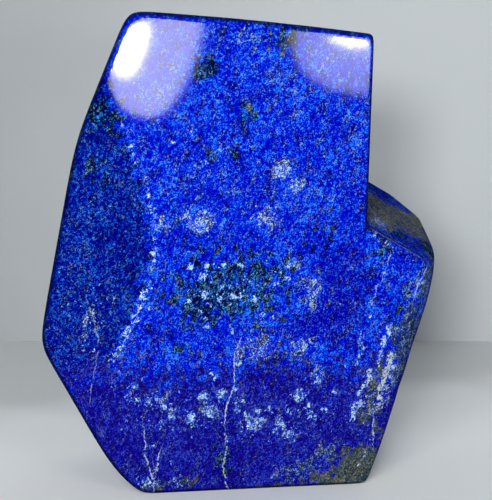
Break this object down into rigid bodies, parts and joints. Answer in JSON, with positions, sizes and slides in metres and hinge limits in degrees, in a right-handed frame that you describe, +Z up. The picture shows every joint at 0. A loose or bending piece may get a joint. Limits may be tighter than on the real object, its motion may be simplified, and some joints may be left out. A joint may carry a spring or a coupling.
{
  "type": "polished lapis lazuli freeform",
  "caption": "Free-standing polished block of lapis lazuli with a flat face, faceted sides, an L-shaped notch beside the top and a flat sawn base.",
  "frame": {"origin": "on the table under the middle of the stone: the centre of the bounding box in plan, at the height of the sawn base", "axes": "+Z up from the sawn base, +Y from the polished face to the back, +X to the right as the polished face is seen"},
  "size_m": [0.1724, 0.064, 0.2021],
  "materials": {
    "polished_lapis": "polished to a high gloss; ultramarine ground mottled with mid blue, blue-black and olive, with white calcite veins and clusters and rare pyrite grains"
  },
  "bodies": {
    "root": {"lapis_stone": "polished_lapis"}
  },
  "joints": []
}
